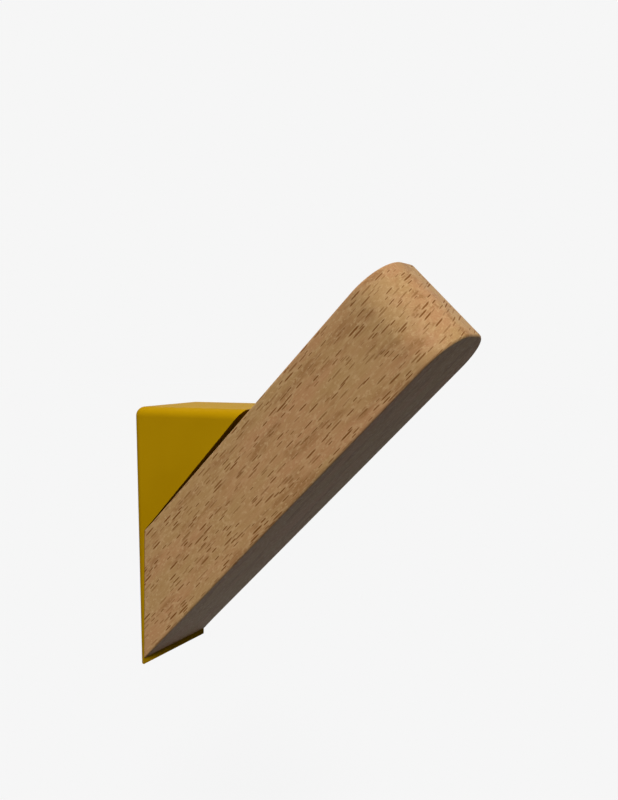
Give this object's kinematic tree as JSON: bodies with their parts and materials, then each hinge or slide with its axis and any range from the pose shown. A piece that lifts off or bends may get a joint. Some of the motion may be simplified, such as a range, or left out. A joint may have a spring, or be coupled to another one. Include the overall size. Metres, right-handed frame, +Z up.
{
  "type": "wall-mounted coat hook",
  "caption": "Wall-mounted coat hook: a round-ended beech arm rising at an angle from a mustard cast wedge bracket that lifts off a hidden wall plate.",
  "frame": {"origin": "midway between the two wall screw holes of the wall plate, on the wall's surface", "axes": "+X out from the wall, +Y across the hook to the left of someone facing the wall's front, +Z up"},
  "size_m": [0.0746, 0.0224, 0.0867],
  "materials": {
    "powder_coat": "satin mustard powder coat on a casting",
    "beech": "oiled steamed beech, satin",
    "zinc_plate": "bright zinc plated steel",
    "dark_steel": "plain hardened steel, lightly oiled",
    "brass": "turned brass",
    "yellow_zinc": "yellow passivated steel",
    "rubber": "matt black rubber"
  },
  "bodies": {
    "wall_side": {"wall_plate": "zinc_plate"},
    "hook": {"bracket": "powder_coat", "arm": "beech", "arm_bolt": "dark_steel", "spring_washer": "dark_steel", "flat_washer": "zinc_plate", "arm_insert": "brass", "arm_screw": "yellow_zinc", "wall_pad": "rubber"}
  },
  "joints": [
    {"name": "lift_off", "type": "slide", "parent": "wall_side", "child": "hook", "axis": [0, 0, 1], "range_m": [0, 0.0046]}
  ]
}
